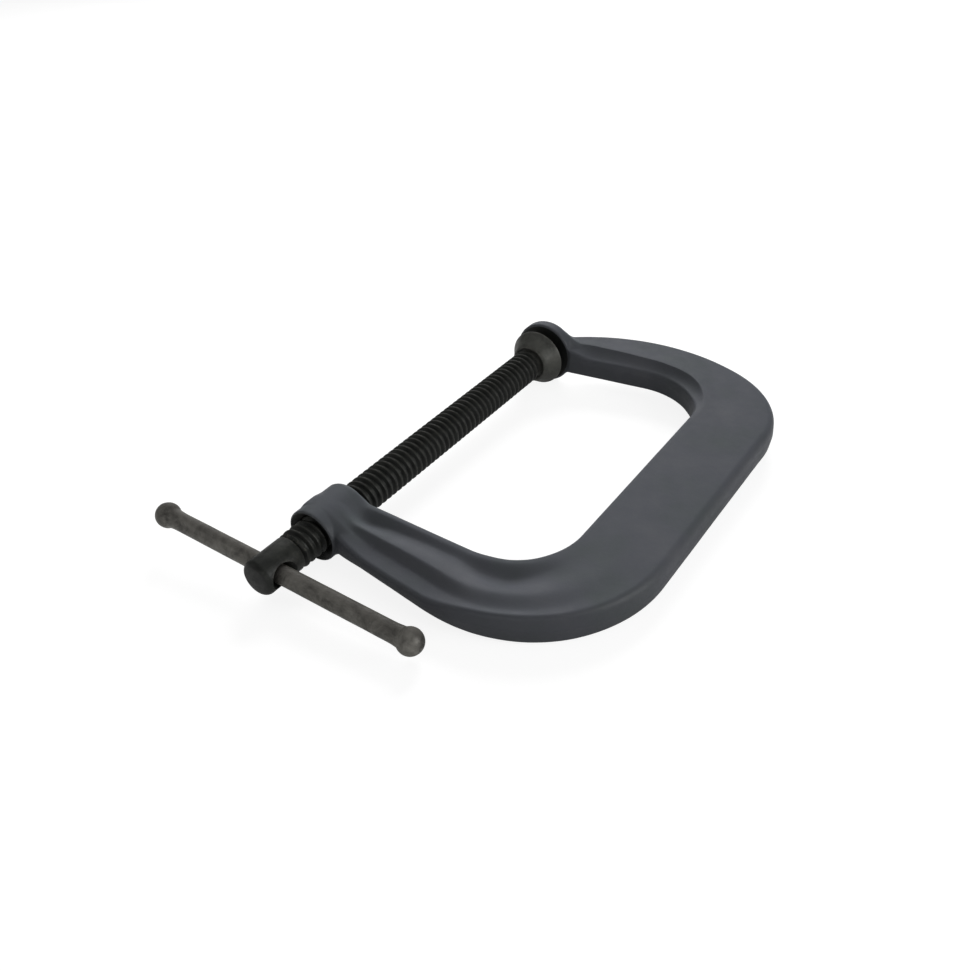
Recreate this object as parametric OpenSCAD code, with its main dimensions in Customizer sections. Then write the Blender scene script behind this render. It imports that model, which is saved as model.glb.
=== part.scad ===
// Forged C-clamp lying flat: a C-shaped frame, a clamping screw threaded through its boss, a swivel
// pad held on the screw's ball end by a split wire ring, and a sliding bar handle.
// Millimetres. The origin is the centre of the anvil's jaw face. +Y runs along the screw from the
// handle to the anvil, +X from the screw to the spine, and +Z is square to the clamp's plane.

/* [Frame] */
// Distance from the screw's axis to the inside of the spine
throat = 104.8; // [100:0.1:110]
// Width of the spine, inside to outside
spine_w = 38.8; // [36:0.1:42]
// Thickness of the frame across its flat sides
frame_t = 16; // [14:0.5:18]
// How far the sides lean in from the parting line to each flat
draft = 0.9; // [0.3:0.1:1.5]
// Depth of the two hollows along each side of an arm
relief = 2.2; // [0.8:0.1:2.6]
// How much thinner an arm's outer edge is where it meets the boss or the anvil
thin_edge = 2.2; // [0:0.1:2.5]
// Diameter of the tapped boss
boss_d = 26.4; // [25:0.1:29]
// Length of the boss along the screw
boss_l = 27.2; // [26:0.1:30]
// Distance between the boss and the anvil's face
jaw_gap = 174.3; // [170:0.1:185]
// Diameter of the anvil's disc
anvil_d = 35.4; // [33:0.1:38]

/* [Screw] */
// Outside diameter of the thread
thread_d = 18; // [17.4:0.1:18.4]
// Advance in one turn
pitch = 3.9; // [3.7:0.05:4.1]
// Depth of the thread
thread_depth = 1.7; // [1.4:0.1:1.9]
// Gap between the screw's thread and the bore of the boss, all round
thread_gap = 0.25; // [0.2:0.01:0.3]
// Diameter of the plain head
head_d = 17.3; // [16.8:0.1:17.6]
// Length of the plain head
head_l = 22.5; // [21:0.5:24]
// Diameter of the ball on the screw's tip
ball_d = 9.2; // [9:0.1:9.2]

/* [Handle] */
// Diameter of the bar
bar_d = 8.8; // [8.4:0.1:9]
// Distance between the centres of the two knobs
bar_l = 141.2; // [130:0.1:150]
// Diameter of the knobs
knob_d = 12.2; // [11.8:0.1:12.8]
// How far the bar stands off centre
bar_offset = 5.3; // [0:0.1:10]
// Gap round the bar in its cross hole
bar_gap = 0.6; // [0.3:0.05:0.7]
// How far the short flare runs from a knob's centre down to the bar
knob_flare = 8.5; // [6:0.1:10]

/* [Pad] */
// Gap between the pad and the anvil as the clamp stands
open_gap = 6.2; // [3:0.1:8]
// Diameter of the pad's rim
pad_d = 32.2; // [31:0.1:34]
// Length of the pad
pad_l = 9.8; // [9.8:0.1:11]

/* [Hidden] */

paint = [0.30, 0.33, 0.38];
black_oxide = [0.13, 0.14, 0.14];
worn_steel = [0.30, 0.29, 0.28];

// Places along Y
boss_in = -jaw_gap;
boss_out = boss_in - boss_l;
shoulder = boss_out - 13;
head_end = shoulder - head_l;
handle_y = head_end + 9.7;
pad_face = -open_gap;
pad_back = pad_face - pad_l;
ball_y = pad_back + 3.4;
thread_tip = pad_back - 1.2;

// Frame outline and section
half_t = frame_t / 2;
spine_out = throat + spine_w;
inner_r = 36;
near_r = 67.9;
far_r = 56.2;
back_r = 96;
near_in = [throat - inner_r, boss_in - 1.4 + inner_r];
far_in = [throat - inner_r, -25.8];
near_out = [spine_out - near_r, boss_out + 63.7];
far_out = [spine_out - far_r, far_in[1] + 3];
near_taper = 8.1;
far_taper = 10.7;
back_turn = 67.4;
back_c = far_out - (back_r - far_r) * [cos(back_turn), sin(back_turn)];
far_tip_x = 12;
far_tip_y = 1.2;
arm_steps = 6;
corner_steps = 10;
inner_edge_round = 0.6;
bead_w = 2.6;
outer_edge_round = 2;

// Boss and anvil
boss_r = boss_d / 2;
anvil_r = anvil_d / 2;
boss_edge = 0.8;
boss_round = 3;
bore_bevel = 2.8;

// Thread
thread_r = thread_d / 2;
root_r = thread_r - thread_depth;
crest_part = 0.36;
flank_part = 0.14;
end_bevel = 1.5;

// Handle
bar_r = bar_d / 2;

// Pad, ball and ring
ball_r = ball_d / 2;
neck_r = 2.9;
run_gap = 0.05;
mouth_r = 6;
mouth_end = 0.8;
lip_r = 5;
lip_t = 0.55;
ring_r = 4.9;
wire_r = 0.6;
ring_y = ball_y - 1.9;
ring_angle = 300;
cut = 1;

// Evenly spaced points on the arc about c from angle a to angle b
function arc(c, r, a, b, n) =
    [for (i = [0 : n]) let (t = a + (b - a) * i / n) c + r * [cos(t), sin(t)]];

// Evenly spaced points on the line from p to q, without p
function run(p, q, n) = [for (i = [1 : n]) p + (q - p) * i / n];

function last(v) = v[len(v) - 1];

// Inner edge of the C, from inside the boss round to inside the anvil
near_edge = near_in - [0, inner_r];
inner_corner_2 = arc(far_in, inner_r, 0, 90 + far_taper, corner_steps);
inner_edge = concat(
    [[0, near_edge[1]]],
    run([0, near_edge[1]], near_edge, arm_steps),
    arc(near_in, inner_r, -90, 0, corner_steps),
    inner_corner_2,
    run(last(inner_corner_2), [far_tip_x, far_tip_y], arm_steps)
);

// Outer edge of the C, with one point for each point of the inner edge
near_turn = near_out - near_r * [sin(near_taper), cos(near_taper)];
near_start = [0, near_turn[1] + near_turn[0] * tan(near_taper)];
back_end = acos((far_tip_x - back_c[0]) / back_r);
outer_edge = concat(
    [near_start],
    run(near_start, near_turn, arm_steps),
    arc(near_out, near_r, -90 - near_taper, 0, corner_steps),
    arc(far_out, far_r, 0, back_turn, corner_steps),
    [for (i = [1 : arm_steps])
        back_c + back_r * [cos(back_turn + (back_end - back_turn) * i / arm_steps),
                           sin(back_turn + (back_end - back_turn) * i / arm_steps)]]
);

// How much of an arm's hollows is left at station k: 1 on the arms, fading to 0 round the corners
function hollow(k) =
    let (from_end = min(k, len(inner_edge) - 1 - k))
    max(0, min(1, (arm_steps + corner_steps - from_end) / corner_steps));

// Upper half of the section at a station of width w, as [distance from the inner edge, height]
function upper(w, h) = [
    [0, half_t - inner_edge_round],
    [inner_edge_round, half_t],
    [bead_w, half_t],
    [0.28 * w, half_t - relief * h],
    [0.55 * w, half_t - 0.15 * relief * h],
    [0.76 * w, half_t - (relief + 0.3 * thin_edge) * h],
    [w - outer_edge_round, half_t - thin_edge * h],
    [w, half_t - outer_edge_round - thin_edge * h]
];

// The whole section: parting line, upper side, parting line, lower side
function section(w, h) =
    let (u = upper(w, h), n = len(u))
    concat([[-draft, 0]], u, [[w + draft, 0]], [for (i = [n - 1 : -1 : 0]) [u[i][0], -u[i][1]]]);

// Closed solid through one section for each pair of edge points
module swept_c() {
    upper_n = len(upper(1, 0));
    m = 2 * upper_n + 2;
    n = len(inner_edge);
    points = [for (k = [0 : n - 1])
        let (p = inner_edge[k], q = outer_edge[k], w = norm(q - p), e = (q - p) / w)
        for (s = section(w, hollow(k))) [p[0] + e[0] * s[0], p[1] + e[1] * s[0], s[1]]];
    sides = [for (k = [0 : n - 2], j = [0 : m - 1])
        [k * m + j, (k + 1) * m + j, (k + 1) * m + (j + 1) % m, k * m + (j + 1) % m]];
    cap = concat([[0, 1, m - 1]],
                 [for (j = [1 : upper_n - 1]) [j, j + 1, m - 1 - j, m - j]],
                 [[upper_n, upper_n + 1, upper_n + 2]]);
    end = (n - 1) * m;
    far_cap = [for (f = cap) [for (j = [len(f) - 1 : -1 : 0]) f[j] + end]];
    polyhedron(points, concat(sides, cap, far_cap), convexity = 6);
}

// Turns a shape built along +Z so that it runs along +Y
module along_y(y = 0) {
    translate([0, y, 0]) rotate([-90, 0, 0]) children();
}

module frame() {
    color(paint) difference() {
        union() {
            swept_c();
            along_y(boss_out) boss_body();
            along_y() anvil();
        }
        along_y(boss_out - cut) cylinder(h = boss_l + 2 * cut, r = thread_r + thread_gap, $fn = 96);
        along_y(boss_out) mouth();
        along_y(boss_in) mirror([0, 0, 1]) mouth();
    }
}

// Bevel round the mouth of the boss's bore
module mouth() {
    translate([0, 0, -cut])
        cylinder(h = cut + bore_bevel, r1 = thread_r + bore_bevel + cut, r2 = thread_r, $fn = 96);
}

module boss_body() {
    r = boss_r;
    e = boss_round;
    rotate_extrude($fn = 96) polygon(concat(
        [[0, 0]],
        arc([r - boss_edge, boss_edge], boss_edge, -90, 0, 4),
        arc([r - e, boss_l - e], e, 0, 90, 5),
        [[0, boss_l]]
    ));
}

module anvil() {
    r = anvil_r;
    rotate_extrude($fn = 96) polygon(concat(
        [[0, 0]],
        arc([r - 1.4, 1.4], 1.4, -90, 0, 4),
        [[r, 4.8], [r - 0.7, 6.6], [r - 2.4, 8.6], [r - 6, 11.4], [r - 11, 13.8], [0, 14.8]]
    ));
}

module screw() {
    color(black_oxide) difference() {
        union() {
            along_y(shoulder - cut) threaded_rod(thread_tip - shoulder + cut);
            along_y(head_end) head_body();
            along_y(thread_tip - cut) cylinder(h = ball_y - thread_tip + cut, r = neck_r, $fn = 48);
            translate([0, ball_y, 0]) sphere(r = ball_r, $fn = 64);
        }
        translate([-thread_d, handle_y, 0]) rotate([0, 90, 0])
            cylinder(h = 2 * thread_d, r = bar_r + bar_gap, $fn = 64);
    }
}

// Rod with a ring for each turn of the thread, at the thread's own pitch, depth and flanks.
// Rings keep true round surfaces where a helix would break into triangles.
module threaded_rod(length) {
    turns = floor(length / pitch);
    turn = [
        [root_r, flank_part],
        [thread_r, 2 * flank_part],
        [thread_r, 2 * flank_part + crest_part],
        [root_r, 3 * flank_part + crest_part]
    ];
    rotate_extrude($fn = 96) polygon(concat(
        [[0, 0], [root_r, 0]],
        [for (i = [0 : turns - 1], p = turn) [p[0], (i + p[1]) * pitch]],
        [[root_r, length], [0, length]]
    ));
}

// Plain head with a domed end and a bevelled shoulder
module head_body() {
    r = head_d / 2;
    rotate_extrude($fn = 96) polygon(concat(
        [[0, 0], [r * 0.55, 0.5]],
        arc([r - 2.6, 3.4], 2.6, -60, 0, 4),
        [[r, head_l - end_bevel], [root_r, head_l], [0, head_l]]
    ));
}

module handle() {
    color(worn_steel) translate([bar_offset - bar_l / 2, handle_y, 0]) rotate([0, 90, 0]) {
        cylinder(h = bar_l, r = bar_r, $fn = 64);
        knob();
        translate([0, 0, bar_l]) mirror([0, 0, 1]) knob();
    }
}

// Upset ball on the end of the bar, with a short flare down to the bar
module knob() {
    sphere(r = knob_d / 2, $fn = 64);
    cylinder(h = knob_flare, r1 = 0.96 * knob_d / 2, r2 = bar_r - 0.01, $fn = 64);
}

module swivel_pad() {
    color(black_oxide) along_y(pad_back) difference() {
        pad_body();
        translate([0, 0, ball_y - pad_back]) sphere(r = ball_r + run_gap, $fn = 64);
        translate([0, 0, lip_t]) cylinder(h = ball_y - pad_back - lip_t - mouth_end, r = mouth_r, $fn = 64);
        translate([0, 0, lip_t]) cylinder(h = ball_y - pad_back - lip_t, r = ball_r + run_gap, $fn = 64);
        translate([0, 0, -cut]) cylinder(h = lip_t + 2 * cut, r = lip_r, $fn = 64);
    }
}

// Bell that widens from the lip at the back to the rim at the jaw face
module pad_body() {
    r = pad_d / 2;
    rotate_extrude($fn = 96) polygon([
        [0, 0],
        [r - 5.7, 0],
        [r - 5.3, 0.5],
        [r - 4.8, 1.3],
        [r - 3.8, 3.2],
        [r - 2.6, 5.2],
        [r - 1.3, 7.2],
        [r - 0.3, 8.8],
        [r, 9.3],
        [r - 0.2, pad_l],
        [0, pad_l]
    ]);
}

module retaining_ring() {
    color(worn_steel) along_y(ring_y) rotate_extrude(angle = ring_angle, $fn = 64)
        translate([ring_r, 0]) circle(r = wire_r, $fn = 32);
}

frame();
screw();
handle();
swivel_pad();
retaining_ring();
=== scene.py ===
import math

import bpy
import numpy as np
from mathutils import Matrix, Vector, noise


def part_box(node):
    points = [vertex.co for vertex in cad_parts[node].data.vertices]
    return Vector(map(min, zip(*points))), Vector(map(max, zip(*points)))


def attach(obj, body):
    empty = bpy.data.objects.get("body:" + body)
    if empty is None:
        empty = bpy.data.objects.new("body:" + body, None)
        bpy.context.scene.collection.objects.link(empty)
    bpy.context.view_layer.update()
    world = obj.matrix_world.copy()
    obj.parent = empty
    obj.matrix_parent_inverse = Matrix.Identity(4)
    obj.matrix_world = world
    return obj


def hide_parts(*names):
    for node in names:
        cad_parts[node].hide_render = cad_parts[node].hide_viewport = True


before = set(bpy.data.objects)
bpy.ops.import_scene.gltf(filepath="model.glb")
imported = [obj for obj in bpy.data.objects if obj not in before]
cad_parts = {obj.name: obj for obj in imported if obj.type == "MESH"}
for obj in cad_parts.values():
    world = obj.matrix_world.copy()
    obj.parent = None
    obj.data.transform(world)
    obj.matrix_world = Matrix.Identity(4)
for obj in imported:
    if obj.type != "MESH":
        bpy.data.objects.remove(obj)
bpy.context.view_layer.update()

# All shapes below are worked out in millimetres in the part's own frame: the origin is the centre of the
# anvil's jaw face, +Y runs along the screw towards the anvil, +X runs from the screw to the spine.
MM = 0.001


def box_mm(node):
    low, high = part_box(node)
    return low / MM, high / MM


FRAME_LOW, FRAME_HIGH = box_mm("frame")
SCREW_LOW, SCREW_HIGH = box_mm("screw")
BAR_LOW, BAR_HIGH = box_mm("handle")
PAD_LOW, PAD_HIGH = box_mm("swivel_pad")
RING_LOW, RING_HIGH = box_mm("retaining_ring")

# ---------------------------------------------------------------- sizes
# Frame
DRAFT = 0.9
HALF_T = 8.0
SPINE_W = 38.8
SPINE_OUT = FRAME_HIGH.x - DRAFT
THROAT = SPINE_OUT - SPINE_W
ANVIL_R = FRAME_HIGH.z
JAW_GAP = 174.3
BOSS_L = 27.2
BOSS_R = 13.2
MOUTH_R = 12.3
BOSS_IN = -JAW_GAP
BOSS_OUT = BOSS_IN - BOSS_L
INNER_R = 36.0
NEAR_R = 67.9
FAR_R = 56.2
BACK_R = 96.0
NEAR_TAPER = math.radians(8.1)
FAR_TAPER = math.radians(10.7)
BACK_TURN = math.radians(67.4)
BACK_END = math.radians(132)

# Screw
CREST_R = 9.0
ROOT_R = 7.3
PITCH = 3.9
BORE_GAP = 0.25
HEAD_R = 8.65
HEAD_END = SCREW_LOW.y
SHOULDER = HEAD_END + 22.5
BALL_R = 4.6
BALL_Y = SCREW_HIGH.y - BALL_R
THREAD_TIP = PAD_LOW.y - 1.2
NECK_R = 2.9
# The thread's crests and the bore's grooves meet the top of the screw at this distance
THREAD_AT = -209.8

# Handle
KNOB_R = BAR_HIGH.z
BAR_R = 4.4
BAR_Y = (BAR_LOW.y + BAR_HIGH.y) / 2
HOLE_R = BAR_R + 0.6
# The bar flares into each knob over this length
FLARE_L = 10.0

# Pad
PAD_R = PAD_HIGH.x


# ---------------------------------------------------------------- mesh helpers
def new_object(name, verts, faces):
    mesh = bpy.data.meshes.new(name)
    mesh.from_pydata([tuple(v) for v in verts], [], [tuple(f) for f in faces])
    mesh.validate()
    mesh.update()
    obj = bpy.data.objects.new(name, mesh)
    bpy.context.scene.collection.objects.link(obj)
    return obj


def revolve(name, profile, segments, axis="Y"):
    """Closed solid from (distance along the axis, radius) points; the first and last lie on the axis."""
    angles = [2 * math.pi * i / segments for i in range(segments)]
    inner = profile[1:-1]
    verts = []

    def place(a, r, t):
        u, v = r * math.sin(t), r * math.cos(t)
        return (u, a, v) if axis == "Y" else (a, v, u)

    for a, r in inner:
        verts += [place(a, r, t) for t in angles]
    start, end = len(verts), len(verts) + 1
    verts += [place(profile[0][0], 0, 0), place(profile[-1][0], 0, 0)]
    faces = []
    for k in range(len(inner) - 1):
        for i in range(segments):
            j = (i + 1) % segments
            here = k * segments
            above = here + segments
            faces.append((here + i, here + j, above + j, above + i))
    top = (len(inner) - 1) * segments
    for i in range(segments):
        j = (i + 1) % segments
        faces.append((start, j, i))
        faces.append((end, top + i, top + j))
    return new_object(name, np.array(verts) * MM, faces)


def arc_points(ca, cr, radius, start, end, steps):
    """Points (a, r) on an arc about (ca, cr); angles in degrees, 0 along a and 90 along r."""
    out = []
    for i in range(steps + 1):
        t = math.radians(start + (end - start) * i / steps)
        out.append((ca + radius * math.cos(t), cr + radius * math.sin(t)))
    return out


def boolean(target, tool, operation):
    """Applies one boolean to target and removes the tool."""
    mod = target.modifiers.new("boolean", "BOOLEAN")
    mod.operation = operation
    mod.solver = "MANIFOLD"
    mod.object = tool
    bpy.context.view_layer.update()
    result = bpy.data.meshes.new_from_object(target.evaluated_get(bpy.context.evaluated_depsgraph_get()))
    target.modifiers.remove(mod)
    old = target.data
    target.data = result
    bpy.data.meshes.remove(old)
    bpy.data.objects.remove(tool)
    return target


def smooth(obj, degrees):
    obj.data.shade_smooth()
    obj.data.set_sharp_from_angle(angle=math.radians(degrees))


# ---------------------------------------------------------------- forged frame
# The frame is one implicit solid: the C, the boss and the anvil are joined with round fillets, as a
# forging is. A field is positive inside the metal and close to the distance in millimetres.
def line(ax, ay, bx, by):
    return ("line", ax, ay, bx, by)


def arc(cx, cy, r, start, end):
    return ("arc", cx, cy, r, start, end)


# Centres of the inner and outer corners' arcs; the arms' straights begin at ARM_START
ARM_START = -20.0
NEAR_IN = (THROAT - INNER_R, BOSS_IN - 1.4 + INNER_R)
FAR_IN = (THROAT - INNER_R, -25.8)
NEAR_OUT = (SPINE_OUT - NEAR_R, BOSS_OUT + 63.7)
FAR_OUT = (SPINE_OUT - FAR_R, FAR_IN[1] + 3)
BACK_SHIFT = BACK_R - FAR_R
BACK = (FAR_OUT[0] - BACK_SHIFT * math.cos(BACK_TURN), FAR_OUT[1] - BACK_SHIFT * math.sin(BACK_TURN))
FAR_BEND = (FAR_IN[0] - INNER_R * math.sin(FAR_TAPER), FAR_IN[1] + INNER_R * math.cos(FAR_TAPER))
FAR_RUN = 62.0
FAR_TIP = (FAR_BEND[0] - FAR_RUN * math.cos(FAR_TAPER), FAR_BEND[1] - FAR_RUN * math.sin(FAR_TAPER))
NEAR_BEND = (NEAR_OUT[0] - NEAR_R * math.sin(NEAR_TAPER), NEAR_OUT[1] - NEAR_R * math.cos(NEAR_TAPER))

INNER_EDGE = [
    line(ARM_START, NEAR_IN[1] - INNER_R, NEAR_IN[0], NEAR_IN[1] - INNER_R),
    arc(*NEAR_IN, INNER_R, -math.pi / 2, 0),
    line(THROAT, NEAR_IN[1], THROAT, FAR_IN[1]),
    arc(*FAR_IN, INNER_R, 0, math.pi / 2 + FAR_TAPER),
    line(*FAR_BEND, *FAR_TIP),
]
OUTER_EDGE = [
    line(ARM_START, NEAR_BEND[1] + (NEAR_BEND[0] - ARM_START) * math.tan(NEAR_TAPER), *NEAR_BEND),
    arc(*NEAR_OUT, NEAR_R, -math.pi / 2 - NEAR_TAPER, 0),
    line(SPINE_OUT, NEAR_OUT[1], SPINE_OUT, FAR_OUT[1]),
    arc(*FAR_OUT, FAR_R, 0, BACK_TURN),
    arc(*BACK, BACK_R, BACK_TURN, BACK_END),
]
# Lengths run along the inner edge to the ends of its straights
BOSS_END = BOSS_R - ARM_START
NEAR_CORNER = NEAR_IN[0] - ARM_START
NEAR_SPINE = NEAR_CORNER + INNER_R * math.pi / 2
FAR_SPINE = NEAR_SPINE + FAR_IN[1] - NEAR_IN[1]
FAR_CORNER = FAR_SPINE + INNER_R * (math.pi / 2 + FAR_TAPER)


def nearest(x, y, edge):
    """Distance to the edge, positive on its right, and the length run along it to the nearest point."""
    best = np.full(x.shape, np.inf)
    signed = np.zeros(x.shape)
    along = np.zeros(x.shape)
    start = 0.0
    for kind, *v in edge:
        if kind == "line":
            ax, ay, bx, by = v
            length = math.hypot(bx - ax, by - ay)
            tx, ty = (bx - ax) / length, (by - ay) / length
            run = np.clip((x - ax) * tx + (y - ay) * ty, 0, length)
            here = np.hypot(x - ax - run * tx, y - ay - run * ty)
            right = (x - ax) * ty - (y - ay) * tx
        else:
            cx, cy, r, a, b = v
            length = r * (b - a)
            mid = (a + b) / 2
            angle = np.arctan2(y - cy, x - cx)
            angle = np.clip(mid + (angle - mid + math.pi) % (2 * math.pi) - math.pi, a, b)
            here = np.hypot(x - cx - r * np.cos(angle), y - cy - r * np.sin(angle))
            right = np.hypot(x - cx, y - cy) - r
            run = (angle - a) * r
        near = here < best
        signed = np.where(near, np.sign(right) * here, signed)
        along = np.where(near, start + run, along)
        best = np.minimum(best, here)
        start += length
    return signed, along


def ramp(v, low, high):
    """0 below low, 1 above high, smooth between."""
    t = np.clip((v - low) / (high - low), 0, 1)
    return t * t * (3 - 2 * t)


def meet(a, b, r):
    """Where both fields are positive, with the edge rounded to radius r."""
    return np.maximum(r, np.minimum(a, b)) - np.hypot(np.maximum(r - a, 0), np.maximum(r - b, 0))


def join(a, b, r):
    """Where either field is positive, with a fillet of radius r."""
    return np.minimum(-r, np.maximum(a, b)) + np.hypot(np.maximum(r + a, 0), np.maximum(r + b, 0))


# Sections of the C. Each row is the length along the inner edge, then the distances from that edge to the
# groove, the ridge and the step's foot, then how far the rim, groove, ridge, foot and outer edge lie below
# the flat, and last how far the outer edge swells out.
SECTIONS = [
    (BOSS_END - 6, 9.0, 14.6, 18.0, 0.2, 0.8, 0.2, 0.4, 1.2, 1.2),
    (BOSS_END, 8.8, 14.6, 18.0, 0.2, 2.2, 0.3, 0.6, 2.0, 2.0),
    (BOSS_END + 6, 7.8, 14.8, 18.2, 0.2, 4.0, 0.6, 2.4, 3.2, 2.8),
    (BOSS_END + 17, 6.6, 15.2, 18.8, 0.2, 3.0, 1.0, 4.5, 4.7, 3.2),
    (BOSS_END + 37, 6.6, 16.2, 21.0, 0.2, 2.0, 0.8, 4.6, 4.7, 3.0),
    (NEAR_CORNER, 7.0, 18.0, 24.5, 0.2, 1.6, 0.3, 4.0, 4.1, 2.6),
    (NEAR_CORNER + 10, 8.8, 21.0, 28.4, 0.2, 3.4, 0.0, 1.9, 1.2, 1.3),
    (NEAR_CORNER + 19, 9.4, 22.2, 29.5, 0.9, 4.6, 0.0, 1.3, 0.3, 0.9),
    (NEAR_CORNER + 28, 9.2, 22.8, 30.5, 0.9, 2.8, 0.0, 0.9, 0.2, 0.8),
    (NEAR_CORNER + 38, 8.8, 22.0, 30.0, 0.4, 0.8, 0.0, 0.4, 0.2, 0.6),
    (NEAR_SPINE, 9.0, 21.0, 30.0, 0.0, 0.0, 0.0, 0.1, 0.0, 0.5),
    (FAR_SPINE, -1.0, 3.0, 12.0, 0.0, 0.0, 0.0, 0.1, 0.0, 0.7),
    (FAR_SPINE + 11, -1.0, 3.4, 12.0, 0.7, 0.7, 0.0, 0.3, 0.1, 1.3),
    (FAR_SPINE + 19, -1.0, 3.6, 12.0, 2.6, 2.6, 0.0, 0.7, 0.2, 1.2),
    (FAR_SPINE + 28, -1.0, 4.8, 13.0, 3.8, 3.8, 0.0, 0.5, 0.3, 1.0),
    (FAR_SPINE + 38, -1.2, 5.8, 14.0, 4.2, 4.2, 0.0, 0.3, 0.3, 0.7),
    (FAR_SPINE + 54, -1.6, 5.0, 15.0, 4.4, 4.4, 0.0, 0.3, 0.3, 0.4),
    (FAR_CORNER + 6, -2.0, 6.0, 16.0, 4.4, 4.4, 0.0, 0.3, 0.3, 0.2),
    (FAR_CORNER + 16, -2.0, 7.0, 16.0, 4.4, 4.4, 0.0, 0.3, 0.3, 0.0),
    (FAR_CORNER + 34, -2.0, 7.6, 16.0, 4.6, 4.6, 0.0, 0.3, 0.3, 0.0),
    (FAR_CORNER + 42, -2.0, 6.6, 14.0, 2.4, 2.4, 0.0, 0.3, 0.3, 0.0),
    (FAR_CORNER + 50, -2.0, 5.6, 12.0, 0.6, 0.6, 0.0, 0.2, 0.2, 0.0),
]
# Millimetres over which the change from one section to the next is softened
BLEND = 9
# The rim is the narrow flat along the inner edge
RIM_WIDTH = 2.0
RIM_R = 1.2
# Edge radius of the arms' outer edge, and what the spine adds to it
ARM_EDGE_R = 2.1
SPINE_EDGE_R = 1.7
# Both arms run this far past the screw's axis
ARM_PAST = 6
BOSS_EDGE_R = 0.8
BOSS_FACE_R = 3.0
# Fillets of the arm's join to the boss and to the anvil: the smallest, and what the web adds
BOSS_FILLET = (0.6, 5.4)
ANVIL_FILLET = (1.2, 5.3)
# The anvil is a disc with a domed back: its rim's height, the dome's height and its fullness
ANVIL_RIM = 5.0
ANVIL_DOME = 9.8
ANVIL_FULL = 1.7
ANVIL_EDGE_R = 1.1


def section_table():
    """The sections sampled every millimetre along the inner edge, with the changes softened."""
    stations = np.array(SECTIONS).T
    at = np.arange(0, stations[0][-1] + 20)
    weight = np.hanning(BLEND + 2)[1:-1]
    weight /= weight.sum()
    rows = [np.interp(at, stations[0], row) for row in stations[1:]]
    return at, [np.convolve(np.pad(row, BLEND // 2, "edge"), weight, "valid") for row in rows]


TABLE_AT, TABLE_ROWS = section_table()


def plan(x, y):
    """What depends only on x and y: distances from the two edges, heights of both sides, edge radius."""
    d_in, along = nearest(x, y, INNER_EDGE)
    d_out = -nearest(x, y, OUTER_EDGE)[0]
    groove, ridge, foot, *drops, swell = [np.interp(along, TABLE_AT, row) for row in TABLE_ROWS]
    d_out = d_out + swell
    width = np.maximum(d_in + d_out, 20.0)
    far = ramp(along, FAR_SPINE, FAR_SPINE + 30)
    places = [np.minimum(RIM_WIDTH, groove - 0.2), groove, ridge, foot, np.maximum(width, foot + 3)]
    steps = [ramp(d_in, low, high) for low, high in zip(places, places[1:])]
    # The far arm's slope is hollow and ends in a crisp crest
    hollow = np.clip((d_in - groove) / (ridge - groove), 0, 1) ** 2
    steps[1] = steps[1] + far * (hollow - steps[1])
    depth = drops[0]
    for k in range(4):
        depth = depth + (drops[k + 1] - drops[k]) * steps[k]
    spine = ramp(along, NEAR_SPINE - 28, NEAR_SPINE) * (1 - ramp(along, FAR_SPINE, FAR_CORNER))
    outer_r = ARM_EDGE_R + SPINE_EDGE_R * spine
    full = HALF_T + 0.2 * far
    return d_in + 0.3 + 0.7 * far, d_out, full - depth, full - depth * (1 - far), outer_r


def frame_field(x, y, z, flat):
    d_in, d_out, upper, lower, outer_r = flat
    top = np.where(z > 0, upper, lower)
    up = np.abs(z)
    lean = DRAFT * (1 - up / HALF_T)
    arm = meet(d_out + lean, top - up, outer_r)
    arm = meet(d_in + lean, arm, RIM_R)
    arm = np.minimum(arm, x + ARM_PAST)
    rho = np.sqrt(x * x + z * z)
    boss = meet(meet(BOSS_R - rho, y - BOSS_OUT, BOSS_EDGE_R), BOSS_IN - y, BOSS_FACE_R)
    web = ramp(y, BOSS_OUT + 1, BOSS_OUT + 7) * (1 - 0.55 * ramp(y, BOSS_IN - 14, BOSS_IN - 7))
    solid = join(arm, boss, BOSS_FILLET[0] + BOSS_FILLET[1] * web)
    back = np.maximum(y - ANVIL_RIM, 0) / ANVIL_DOME
    bulge = (np.power(rho / ANVIL_R, ANVIL_FULL) + np.power(back, ANVIL_FULL)) ** (1 / ANVIL_FULL)
    anvil = meet((1 - bulge) * ANVIL_R, y, ANVIL_EDGE_R)
    solid = join(solid, anvil, ANVIL_FILLET[0] + ANVIL_FILLET[1] * ramp(y, 1.5, 8))
    # Nothing stands in front of the jaw face
    jaw = y + 2 * np.maximum(rho - ANVIL_R, 0)
    return np.where(y > -JAW_GAP / 2, np.minimum(solid, jaw), solid)


CORNERS = [(0, 0, 0), (1, 0, 0), (0, 1, 0), (1, 1, 0), (0, 0, 1), (1, 0, 1), (0, 1, 1), (1, 1, 1)]
CELL_EDGES = [(a, b) for a in range(8) for b in range(8)
              if a < b and sum(p != q for p, q in zip(CORNERS[a], CORNERS[b])) == 1]


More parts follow.
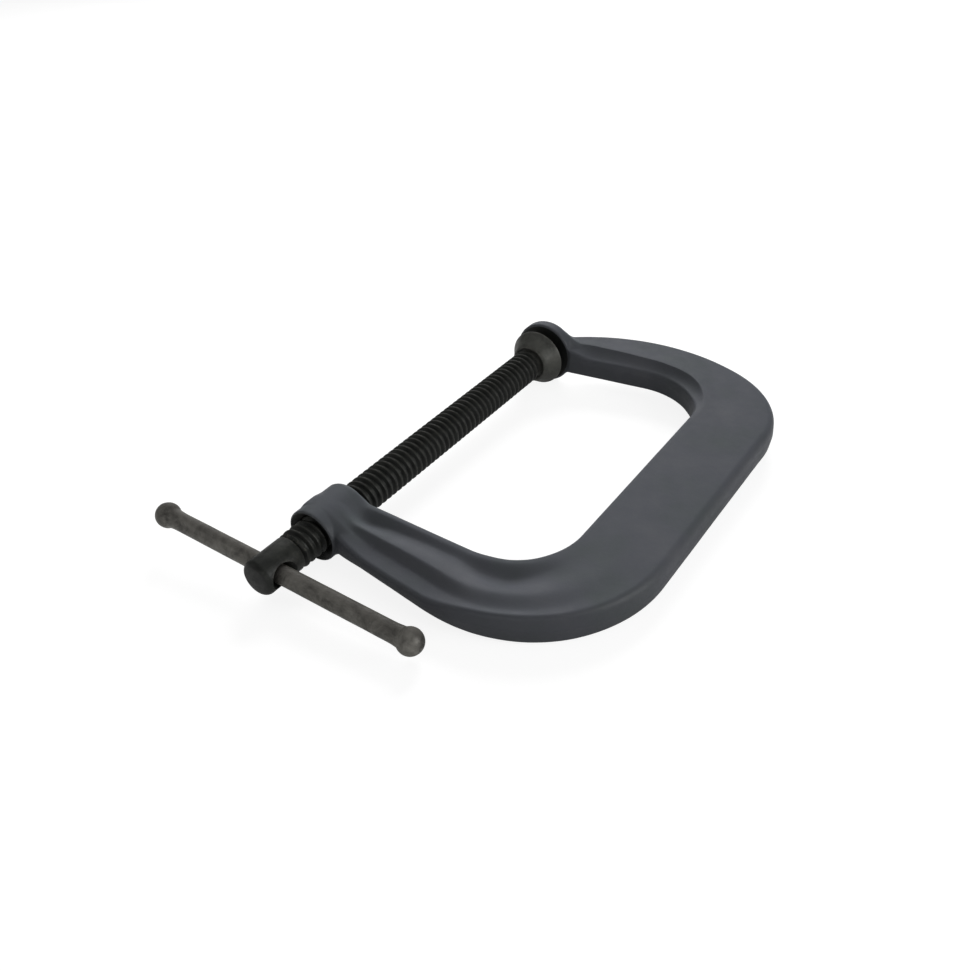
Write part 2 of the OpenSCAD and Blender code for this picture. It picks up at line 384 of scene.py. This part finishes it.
def surface_net(low, high, step):
    """Quads on the frame field's surface, one vertex in each grid cell that the surface crosses."""
    axes = [np.arange(low[k], high[k] + step, step) for k in range(3)]
    gx, gy = np.meshgrid(axes[0], axes[1], indexing="ij")
    flat = plan(gx, gy)
    field = np.stack([frame_field(gx, gy, z, flat) for z in axes[2]], axis=2)
    shape = tuple(n - 1 for n in field.shape)

    def corner(c, source):
        return source[c[0]:c[0] + shape[0], c[1]:c[1] + shape[1], c[2]:c[2] + shape[2]]

    inside = field > 0
    count = sum(corner(c, inside).astype(np.int8) for c in CORNERS)
    cells = np.argwhere((count > 0) & (count < 8))
    index = np.full(shape, -1, np.int64)
    index[tuple(cells.T)] = np.arange(len(cells))
    values = [field[tuple((cells + np.array(c)).T)] for c in CORNERS]
    total = np.zeros((len(cells), 3))
    crossed = np.zeros(len(cells))
    for a, b in CELL_EDGES:
        hit = (values[a] > 0) != (values[b] > 0)
        t = np.where(hit, values[a] / np.where(hit, values[a] - values[b], 1), 0)
        point = np.array(CORNERS[a]) + t[:, None] * (np.array(CORNERS[b]) - np.array(CORNERS[a]))
        total += point * hit[:, None]
        crossed += hit
    verts = (cells + total / crossed[:, None]) * step + np.array(low)
    quads = []
    for axis in range(3):
        one = np.eye(3, dtype=int)[axis]
        u, v = np.eye(3, dtype=int)[(axis + 1) % 3], np.eye(3, dtype=int)[(axis + 2) % 3]
        first = inside[:-1, :-1, :-1]
        second = corner(one, inside)
        at = np.argwhere(first != second)
        at = at[(at[:, (axis + 1) % 3] > 0) & (at[:, (axis + 2) % 3] > 0)]
        loop = [index[tuple((at - s).T)] for s in (u + v, v, 0 * u, u)]
        quad = np.stack(loop, axis=1)
        flip = ~first[tuple(at.T)]
        quad[flip] = quad[flip][:, ::-1]
        quads.append(quad)
    return verts, np.concatenate(quads)


def settle(verts, rounds):
    """Moves vertices along the field's gradient onto its zero."""
    e = 0.02
    for _ in range(rounds):
        x, y, z = verts.T
        here = frame_field(x, y, z, plan(x, y))
        gx = (frame_field(x + e, y, z, plan(x + e, y)) - frame_field(x - e, y, z, plan(x - e, y))) / (2 * e)
        gy = (frame_field(x, y + e, z, plan(x, y + e)) - frame_field(x, y - e, z, plan(x, y - e))) / (2 * e)
        flat = plan(x, y)
        gz = (frame_field(x, y, z + e, flat) - frame_field(x, y, z - e, flat)) / (2 * e)
        grad = np.stack([gx, gy, gz], axis=1)
        size = np.maximum((grad ** 2).sum(axis=1), 0.1)
        move = np.clip(here / size, -0.4, 0.4)[:, None] * grad
        verts = verts - move
    return verts, grad


def relax(verts, quads, rounds):
    """Evens out the spacing: each vertex moves half way to the average of its neighbours."""
    a = np.concatenate([quads[:, k] for k in range(4)])
    b = np.concatenate([quads[:, (k + 1) % 4] for k in range(4)])
    for _ in range(rounds):
        total = np.zeros_like(verts)
        for k in range(3):
            total[:, k] = np.bincount(a, verts[b, k], len(verts)) + np.bincount(b, verts[a, k], len(verts))
        count = np.bincount(a, minlength=len(verts)) + np.bincount(b, minlength=len(verts))
        verts = verts + 0.5 * (total / count[:, None] - verts)
    return verts


def forge_texture(verts, normals):
    """Shallow unevenness of a forged skin, left off the two machined faces."""
    waves = ((0.045, 0.06), (0.22, 0.025))
    rough = np.array([sum(noise.noise(Vector(v) * scale) * height for scale, height in waves)
                      for v in verts])
    boss_face = 1 - ramp(verts[:, 1], BOSS_OUT + 0.3, BOSS_OUT + 2.5)
    boss_face *= (np.abs(verts[:, 0]) < BOSS_R + 2)
    jaw = (1 - ramp(np.abs(verts[:, 1]), 0.4, 2.0)) * (np.abs(verts[:, 0]) < ANVIL_R + 1)
    keep = (1 - np.clip(boss_face, 0, 1)) * (1 - jaw)
    return verts + normals * (rough * keep)[:, None]


def threaded_rod(name, low, high, root, crest, segments):
    """Right-hand helical rod along Y whose rows follow the thread; its ends are trimmed afterwards."""
    shape = [(0.00, 0.0), (0.10, 0.02), (0.17, 0.16), (0.27, 0.72), (0.33, 0.94), (0.39, 1.0),
             (0.53, 1.0), (0.59, 0.94), (0.65, 0.72), (0.75, 0.16), (0.82, 0.02), (0.92, 0.0)]
    m = len(shape)
    start = THREAD_AT - PITCH * (0.46 + math.ceil((THREAD_AT - low) / PITCH) + 1)
    rows = math.ceil((high - start) / PITCH + 1) * m
    wide = rows + m
    verts = []
    for i in range(segments):
        t = 2 * math.pi * i / segments
        for j in range(wide):
            p, h = shape[j % m]
            y = start + PITCH * (j // m + p + i / segments)
            r = root + (crest - root) * h
            verts.append((r * math.sin(t), y, r * math.cos(t)))

    def at(i, j):
        return i * wide + j if i < segments else j + m

    end = len(verts)
    verts += [(0, start + PITCH * 0.5, 0), (0, start + PITCH * (rows / m + 0.5), 0)]
    faces = []
    for i in range(segments):
        for j in range(rows):
            faces.append((at(i, j), at(i + 1, j), at(i + 1, j + 1), at(i, j + 1)))
        faces.append((end, at(i + 1, 0), at(i, 0)))
        faces.append((end + 1, at(i, rows), at(i + 1, rows)))
    for j in range(m):
        faces.append((end, j, j + 1))
        faces.append((end + 1, rows + j + 1, rows + j))
    return new_object(name, np.array(verts) * MM, faces)


# Grid steps of the frame's mesh, and how far the grid reaches past the forging
FINE_STEP = 0.56
GRID_MARGIN = 5.0


def make_frame():
    margin = GRID_MARGIN
    low = (min(FRAME_LOW.x, -ANVIL_R) - margin, FRAME_LOW.y - margin, -ANVIL_R - margin)
    high = (FRAME_HIGH.x + margin, FRAME_HIGH.y + margin, ANVIL_R + margin)
    verts, quads = surface_net(low, high, FINE_STEP)
    verts = relax(verts, quads, 2)
    verts, grad = settle(verts, 3)
    verts = relax(verts, quads, 1)
    verts, grad = settle(verts, 2)
    normals = -grad / np.linalg.norm(grad, axis=1)[:, None]
    verts = forge_texture(verts, normals)
    obj = new_object("frame_forging", verts * MM, quads)
    bore = threaded_rod("bore", BOSS_OUT - 4, BOSS_IN + 4, ROOT_R + BORE_GAP, CREST_R + BORE_GAP, 72)
    boolean(obj, bore, "DIFFERENCE")
    for face, way, rim in ((BOSS_OUT, 1, MOUTH_R), (BOSS_IN, -1, CREST_R + 1.9)):
        deep = rim - ROOT_R
        bottom = face + way * deep
        profile = [(face - way, 0), (face - way, rim + 1), (bottom, ROOT_R), (bottom, 0)]
        boolean(obj, revolve("mouth", profile[::way], 96), "DIFFERENCE")
    smooth(obj, 38)
    return obj


# ---------------------------------------------------------------- screw
def make_screw():
    rod = threaded_rod("screw_with_ball", SHOULDER - 4, THREAD_TIP + 4, ROOT_R, CREST_R, 72)
    trim = revolve("trim", [
        (SHOULDER - 1.5, 0), (SHOULDER - 1.5, ROOT_R - 0.2), (SHOULDER - 0.6, ROOT_R - 0.05),
        (SHOULDER + 1.6, CREST_R + 0.4), (THREAD_TIP - 2.2, CREST_R + 0.4), (THREAD_TIP, ROOT_R - 0.6),
        (THREAD_TIP, 0),
    ], 96)
    boolean(rod, trim, "INTERSECT")
    head = revolve("head", [(HEAD_END, 0), (HEAD_END + 0.12, 2.4), (HEAD_END + 0.45, 4.6)]
                   + arc_points(HEAD_END + 3.3, HEAD_R - 2.9, 2.9, 166, 90, 8)
                   + [(SHOULDER - 1.3, HEAD_R), (SHOULDER - 0.5, HEAD_R - 0.35), (SHOULDER, HEAD_R - 1.2),
                      (SHOULDER + 0.2, ROOT_R - 0.8), (SHOULDER + 0.2, 0)], 96)
    boolean(rod, head, "UNION")
    opening = math.degrees(math.asin(NECK_R / BALL_R))
    neck = [(THREAD_TIP - 3, 0), (THREAD_TIP - 3, NECK_R + 1.2), (THREAD_TIP - 0.4, NECK_R + 1.2),
            (THREAD_TIP + 0.3, NECK_R)]
    ball = arc_points(BALL_Y, 0, BALL_R, 180 - opening, 4, 20)
    tip = revolve("ball_end", neck + ball + [(BALL_Y + BALL_R, 0)], 64)
    boolean(rod, tip, "UNION")
    reach = HEAD_R + 1.5
    hole = revolve("cross_hole", [(-reach, 0), (-reach, HOLE_R + 3.4), (-HEAD_R + 3.0, HOLE_R + 0.2),
                                  (-HEAD_R + 3.7, HOLE_R), (HEAD_R - 3.7, HOLE_R),
                                  (HEAD_R - 3.0, HOLE_R + 0.2), (reach, HOLE_R + 3.4), (reach, 0)], 72, "X")
    hole.data.transform(Matrix.Translation((0, BAR_Y * MM, 0)))
    boolean(rod, hole, "DIFFERENCE")
    smooth(rod, 32)
    return rod


# ---------------------------------------------------------------- handle
def make_handle():
    ends = (BAR_LOW.x + KNOB_R, BAR_HIGH.x - KNOB_R)
    half = [(-KNOB_R + 1.0, 0.0), (-KNOB_R + 0.9, 1.1), (-KNOB_R + 0.3, 1.75)]
    half += arc_points(0, 0, KNOB_R, 160, 52, 14)
    half += [(4.4, 4.74), (5.6, 4.60), (7.0, 4.49), (8.5, 4.42), (FLARE_L, BAR_R)]
    profile = [(ends[0] + a, r) for a, r in half]
    steps = 24
    for i in range(1, steps):
        a = ends[0] + FLARE_L + (ends[1] - ends[0] - 2 * FLARE_L) * i / steps
        profile.append((a, BAR_R))
    profile += [(ends[1] - a, r) for a, r in reversed(half)]
    obj = revolve("bar_handle", profile, 64, "X")
    obj.data.transform(Matrix.Translation((0, BAR_Y * MM, 0)))
    for v in obj.data.vertices:
        p = v.co / MM
        size = noise.noise(p * 0.35) * 0.05 + noise.noise(p * 1.1) * 0.02
        side = Vector((0, v.co.y - BAR_Y * MM, v.co.z))
        if side.length > 0.001:
            v.co += side.normalized() * size * MM
    smooth(obj, 40)
    return obj


# ---------------------------------------------------------------- swivel pad
def make_pad():
    back = PAD_LOW.y
    r = PAD_R
    gap = 0.05
    mouth = 5.0
    cup = 6.0
    front = PAD_HIGH.y
    outer = [(back + 0.1, mouth + 0.5), (back + 0.15, mouth + 1.4), (back + 1.2, mouth + 2.2),
             (back + 1.2, mouth + 3.6), (back + 0.1, r - 6.4), (back, r - 6.1), (back + 0.3, r - 5.45),
             (back + 1.2, r - 4.85), (back + 3.2, r - 3.8), (back + 5.2, r - 2.6),
             (back + 7.2, r - 1.3), (back + 8.5, r - 0.45), (back + 9.1, r - 0.05),
             (front - 0.35, r), (front - 0.1, r - 0.2), (front, r - 0.6)]
    socket = arc_points(BALL_Y, 0, BALL_R + gap, 0, 96, 18)
    inside = [(BALL_Y - 0.8, BALL_R + gap), (BALL_Y - 0.8, cup), (back + 0.75, cup),
              (back + 0.55, mouth + 0.15), (back + 0.4, mouth), (back + 0.15, mouth + 0.1)]
    profile = [(BALL_Y + BALL_R + gap, 0)] + socket[1:] + inside + outer + [(front, 8.0), (front, 0)]
    obj = revolve("swivel_pad_bell", profile, 96)
    smooth(obj, 35)
    return obj


# ---------------------------------------------------------------- retaining ring
def make_ring():
    wire = (RING_HIGH.y - RING_LOW.y) / 2
    radius = RING_HIGH.x - wire
    centre = (RING_HIGH.y + RING_LOW.y) / 2
    sweep = 300
    around = 72
    sides = 16
    verts = []
    for i in range(around + 1):
        t = math.radians(sweep * i / around)
        for j in range(sides):
            s = 2 * math.pi * j / sides
            r = radius + wire * math.cos(s)
            verts.append((r * math.cos(t), centre + wire * math.sin(s), -r * math.sin(t)))
    faces = []
    for i in range(around):
        for j in range(sides):
            k = (j + 1) % sides
            faces.append((i * sides + j, i * sides + k, (i + 1) * sides + k, (i + 1) * sides + j))
    faces += [tuple(range(sides))[::-1], tuple(around * sides + j for j in range(sides))]
    obj = new_object("split_ring", np.array(verts) * MM, faces)
    smooth(obj, 40)
    return obj


# ---------------------------------------------------------------- materials
class Nodes:
    """Small helper that builds one procedural material."""

    def __init__(self, name):
        self.material = bpy.data.materials.new(name)
        self.material.use_nodes = True
        self.tree = self.material.node_tree
        self.shader = self.tree.nodes["Principled BSDF"]
        self.coords = self.add("ShaderNodeTexCoord").outputs["Object"]

    def add(self, kind, **inputs):
        node = self.tree.nodes.new(kind)
        for key, value in inputs.items():
            node.inputs[key.replace("_", " ")].default_value = value
        return node

    def link(self, a, b):
        self.tree.links.new(a, b)

    def noise(self, scale, detail=4.0, roughness=0.55, distortion=0.0):
        node = self.add("ShaderNodeTexNoise", Scale=scale, Detail=detail, Roughness=roughness,
                        Distortion=distortion)
        self.link(self.coords, node.inputs["Vector"])
        return node.outputs["Fac"]

    def ramp(self, value, stops):
        """stops are (position, grey or colour)."""
        node = self.add("ShaderNodeValToRGB")
        self.link(value, node.inputs["Fac"])
        elements = node.color_ramp.elements
        while len(elements) < len(stops):
            elements.new(0.5)
        for element, (position, colour) in zip(elements, stops):
            element.position = position
            colour = (colour, colour, colour) if isinstance(colour, (int, float)) else colour
            element.color = (*colour, 1)
        return node.outputs["Color"]

    def mix(self, factor, a, b):
        node = self.add("ShaderNodeMix")
        node.data_type = "RGBA"
        self.set(node.inputs[0], factor)
        self.set(node.inputs[6], a)
        self.set(node.inputs[7], b)
        return node.outputs[2]

    def math(self, operation, a, b=0.0):
        node = self.add("ShaderNodeMath")
        node.operation = operation
        self.set(node.inputs[0], a)
        self.set(node.inputs[1], b)
        return node.outputs[0]

    def set(self, socket, value):
        if isinstance(value, bpy.types.NodeSocket):
            self.link(value, socket)
        elif isinstance(value, tuple) and len(value) == 3:
            socket.default_value = (*value, 1)
        else:
            socket.default_value = value

    def bump(self, height, distance, strength=1.0):
        node = self.add("ShaderNodeBump", Strength=strength, Distance=distance)
        self.link(height, node.inputs["Height"])
        previous = self.shader.inputs["Normal"].links
        if previous:
            self.link(previous[0].from_socket, node.inputs["Normal"])
        self.link(node.outputs["Normal"], self.shader.inputs["Normal"])

    def axes(self):
        node = self.add("ShaderNodeSeparateXYZ")
        self.link(self.coords, node.inputs[0])
        return [node.outputs[axis] for axis in "XYZ"]

    def edges(self, low, high):
        """1 on convex edges, 0 elsewhere."""
        geometry = self.add("ShaderNodeNewGeometry")
        return self.ramp(geometry.outputs["Pointiness"], [(low, 0.0), (high, 1.0)])


def paint_material():
    n = Nodes("blue_grey_enamel")
    patches = n.noise(28, 5, 0.6)
    fine = n.noise(900, 3, 0.6)
    colour = n.ramp(patches, [(0.30, (0.072, 0.082, 0.086)), (0.52, (0.080, 0.085, 0.098)),
                              (0.72, (0.091, 0.095, 0.106))])
    specks = n.ramp(n.noise(2600, 2, 0.5), [(0.66, 0.0), (0.74, 1.0)])
    colour = n.mix(n.math("MULTIPLY", specks, 0.35), colour, (0.15, 0.155, 0.16))
    worn = n.math("MULTIPLY", n.edges(0.53, 0.60), n.ramp(n.noise(160, 6, 0.7), [(0.42, 0.0), (0.62, 1.0)]))
    colour = n.mix(n.math("MULTIPLY", worn, 0.55), colour, (0.17, 0.17, 0.165))
    x, y, z = n.axes()
    rho = n.math("SQRT", n.math("ADD", n.math("POWER", x, 2.0), n.math("POWER", z, 2.0)))
    # Painted shade: the boss's mouth, the anvil's jaw face and the bore are painted near black. They are
    # bare machined steel, darkened past its own colour as painted shade for these recesses and for the
    # pad's shadow on the jaw.
    mouth = n.math("MULTIPLY", n.math("LESS_THAN", rho, (MOUTH_R + 0.05) * MM),
                   n.math("LESS_THAN", y, (BOSS_OUT + MOUTH_R - CREST_R) * MM))
    jaw = n.math("MULTIPLY", n.math("LESS_THAN", rho, (ANVIL_R - 1.2) * MM), n.math("GREATER_THAN", y, -MM))
    jaw = n.math("MULTIPLY", jaw, n.math("LESS_THAN", y, 0.3 * MM))
    bore = n.math("MULTIPLY", n.math("LESS_THAN", rho, (CREST_R + BORE_GAP + 0.15) * MM),
                  n.math("LESS_THAN", y, BOSS_IN * MM))
    bare_steel_and_painted_shade = n.math("MAXIMUM", n.math("MAXIMUM", mouth, jaw), bore)
    colour = n.mix(bare_steel_and_painted_shade, colour, (0.006, 0.007, 0.006))
    n.set(n.shader.inputs["Base Color"], colour)
    n.set(n.shader.inputs["Roughness"], n.ramp(n.noise(120, 5, 0.6), [(0.3, 0.44), (0.7, 0.56)]))
    n.shader.inputs["Specular IOR Level"].default_value = 0.4
    n.bump(n.noise(420, 4, 0.6), 0.00010, 0.5)
    n.bump(fine, 0.00003, 0.6)
    return n.material


def black_material():
    n = Nodes("black_oxide_thread")
    colour = n.ramp(n.noise(220, 5, 0.65), [(0.30, (0.012, 0.013, 0.012)), (0.60, (0.024, 0.026, 0.023)),
                                            (0.8, (0.044, 0.046, 0.039))])
    worn = n.math("MULTIPLY", n.edges(0.52, 0.58), n.ramp(n.noise(700, 5, 0.7), [(0.38, 0.0), (0.60, 1.0)]))
    colour = n.mix(n.math("MULTIPLY", worn, 0.7), colour, (0.085, 0.083, 0.068))
    n.set(n.shader.inputs["Base Color"], colour)
    n.shader.inputs["Metallic"].default_value = 0.35
    n.set(n.shader.inputs["Roughness"], n.ramp(n.noise(500, 4, 0.6), [(0.3, 0.36), (0.7, 0.55)]))
    n.bump(n.noise(1500, 4, 0.6), 0.00006, 0.7)
    return n.material


# Width of the blend into the bar's painted shade
SHADE_BLEND = 2.8


def steel_material(name, dark, middle, light, metallic, painted_shade_from=None):
    """Worn steel; when a Y to shade from is given, the side beyond it gets a painted shade towards the dark
    colour.
    """
    n = Nodes(name)
    colour = n.ramp(n.noise(110, 6, 0.7, 0.4), [(0.30, dark), (0.50, middle), (0.74, light)])
    if painted_shade_from is not None:
        # Painted shade: the side beyond the given Y is darkened towards the dark colour, standing in for
        # shade on the side turned to the back light.
        y = n.axes()[1]
        beyond = n.math("DIVIDE", n.math("SUBTRACT", y, painted_shade_from * MM), SHADE_BLEND * MM)
        colour = n.mix(n.math("MULTIPLY", n.ramp(beyond, [(0.0, 0.0), (1.0, 1.0)]), 0.66), colour, dark)
    scuffs = n.ramp(n.noise(700, 6, 0.75), [(0.62, 0.0), (0.72, 1.0)])
    colour = n.mix(n.math("MULTIPLY", scuffs, 0.45), colour, (0.26, 0.25, 0.23))
    worn = n.math("MULTIPLY", n.edges(0.52, 0.58), n.ramp(n.noise(420, 5, 0.7), [(0.40, 0.0), (0.62, 1.0)]))
    colour = n.mix(n.math("MULTIPLY", worn, 0.5), colour, (0.20, 0.19, 0.17))
    n.set(n.shader.inputs["Base Color"], colour)
    n.shader.inputs["Metallic"].default_value = metallic
    n.set(n.shader.inputs["Roughness"], n.ramp(n.noise(300, 5, 0.65), [(0.3, 0.36), (0.7, 0.58)]))
    n.bump(n.noise(900, 5, 0.65), 0.00008, 0.7)
    n.bump(n.noise(160, 3, 0.5), 0.00015, 0.5)
    return n.material


def finish_piece(obj, body, node, material):
    obj.data.materials.clear()
    obj.data.materials.append(material)
    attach(obj, body)
    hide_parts(node)


frame_piece = make_frame()
screw_piece = make_screw()
handle_piece = make_handle()
pad_piece = make_pad()
ring_piece = make_ring()

finish_piece(frame_piece, "frame", "frame", paint_material())
finish_piece(screw_piece, "screw", "screw", black_material())
# The handle's bar gets a painted shade on its +Y side, beyond BAR_Y - 2.6.
finish_piece(handle_piece, "handle", "handle", steel_material(
    "worn_bar_steel", (0.055, 0.052, 0.047), (0.195, 0.187, 0.168), (0.31, 0.30, 0.27), 0.4, BAR_Y - 2.6))
finish_piece(pad_piece, "swivel_pad", "swivel_pad", steel_material(
    "dark_pad_steel", (0.034, 0.035, 0.030), (0.078, 0.080, 0.071), (0.115, 0.115, 0.102), 0.3))
finish_piece(ring_piece, "pad_carrier", "retaining_ring", steel_material(
    "spring_wire", (0.05, 0.05, 0.05), (0.09, 0.09, 0.09), (0.14, 0.14, 0.14), 0.7))


# ---------------------------------------------------------------- floor
def three_point_floor():
    """The clamp rests on its anvil, its boss and the spine's outer edge, so the floor meets all three."""
    a = Vector((0, ANVIL_R * 0.1, -ANVIL_R))
    b = Vector((0, (BOSS_IN + BOSS_OUT) / 2, -BOSS_R))
    c = Vector((SPINE_OUT - 3.0, (BOSS_IN - 60) / 2, -HALF_T - 0.05))
    normal = (c - a).cross(b - a).normalized()
    if normal.z < 0:
        normal = -normal
    return a - normal * 0.15, normal


floor_point, floor_normal = three_point_floor()
floor_mesh = new_object("floor", [(-3, -3, 0), (3, -3, 0), (3, 3, 0), (-3, 3, 0)], [(0, 1, 2, 3)])
floor_mesh.rotation_mode = "QUATERNION"
floor_mesh.rotation_quaternion = floor_normal.to_track_quat("Z", "Y")
floor_mesh.location = floor_point * MM
floor_nodes = Nodes("pale_floor")
floor_nodes.shader.inputs["Roughness"].default_value = 0.9
floor_nodes.shader.inputs["Specular IOR Level"].default_value = 0.0
floor_nodes.shader.inputs["Emission Color"].default_value = (1, 1, 1, 1)
rays = floor_nodes.add("ShaderNodeLightPath")
pale = floor_nodes.ramp(floor_nodes.noise(6, 2, 0.5), [(0.3, 0.24), (0.7, 0.26)])
floor_nodes.set(floor_nodes.shader.inputs["Base Color"],
                floor_nodes.mix(rays.outputs["Is Camera Ray"], (0.42, 0.42, 0.42), pale))
glow = floor_nodes.math("MAXIMUM", floor_nodes.math("MULTIPLY", rays.outputs["Is Camera Ray"], 0.87),
                        floor_nodes.math("MULTIPLY", rays.outputs["Is Glossy Ray"], 0.22))
floor_nodes.set(floor_nodes.shader.inputs["Emission Strength"], glow)
floor_mesh.data.materials.append(floor_nodes.material)


# ---------------------------------------------------------------- lights and camera
def area_light(name, direction, distance, size, power, colour=(1, 1, 1)):
    lamp = bpy.data.lights.new(name, "AREA")
    lamp.shape = "DISK"
    lamp.size = size
    lamp.energy = power
    lamp.color = colour
    obj = bpy.data.objects.new(name, lamp)
    bpy.context.scene.collection.objects.link(obj)
    direction = Vector(direction).normalized()
    obj.location = AIM + direction * distance
    obj.rotation_mode = "QUATERNION"
    obj.rotation_quaternion = direction.to_track_quat("Z", "Y")
    return obj


AIM = Vector((43.66, -126.37, 0.0)) * MM
CAMERA_AZIMUTH = math.radians(34.04)
CAMERA_ELEVATION = math.radians(37.545)
CAMERA_DISTANCE = 453.76 * MM
CAMERA_LENS = 34.855

area_light("back", (-0.38, 0.82, 0.42), 1.8, 1.1, 38.0).visible_glossy = False
area_light("sheen", (-0.54, 0.69, 0.50), 1.1, 1.0, 1.6)
area_light("side", (0.85, 0.15, 0.42), 1.1, 0.8, 4.6)
area_light("left", (-0.72, -0.55, 0.42), 1.1, 0.8, 0.7)
area_light("overhead", (0.0, 0.05, 1.0), 1.4, 1.6, 2.0)
area_light("front", (0.30, -0.94, 0.16), 0.62, 0.5, 0.5)

world = bpy.data.worlds.new("studio")
bpy.context.scene.world = world
world.use_nodes = True
background = world.node_tree.nodes["Background"]
background.inputs["Color"].default_value = (1.0, 1.0, 1.0, 1)
background.inputs["Strength"].default_value = 0.075

camera_data = bpy.data.cameras.new("camera")
camera_data.sensor_fit = "HORIZONTAL"
camera_data.sensor_width = 36.0
camera_data.lens = CAMERA_LENS
camera_data.clip_start = 0.01
camera = bpy.data.objects.new("camera", camera_data)
bpy.context.scene.collection.objects.link(camera)
away = Vector((math.sin(CAMERA_AZIMUTH) * math.cos(CAMERA_ELEVATION),
               -math.cos(CAMERA_AZIMUTH) * math.cos(CAMERA_ELEVATION),
               math.sin(CAMERA_ELEVATION)))
camera.location = AIM + away * CAMERA_DISTANCE
camera.rotation_mode = "QUATERNION"
camera.rotation_quaternion = away.to_track_quat("Z", "Y")
bpy.context.scene.camera = camera

bpy.context.scene.view_settings.view_transform = "Standard"
bpy.context.scene.view_settings.look = "None"
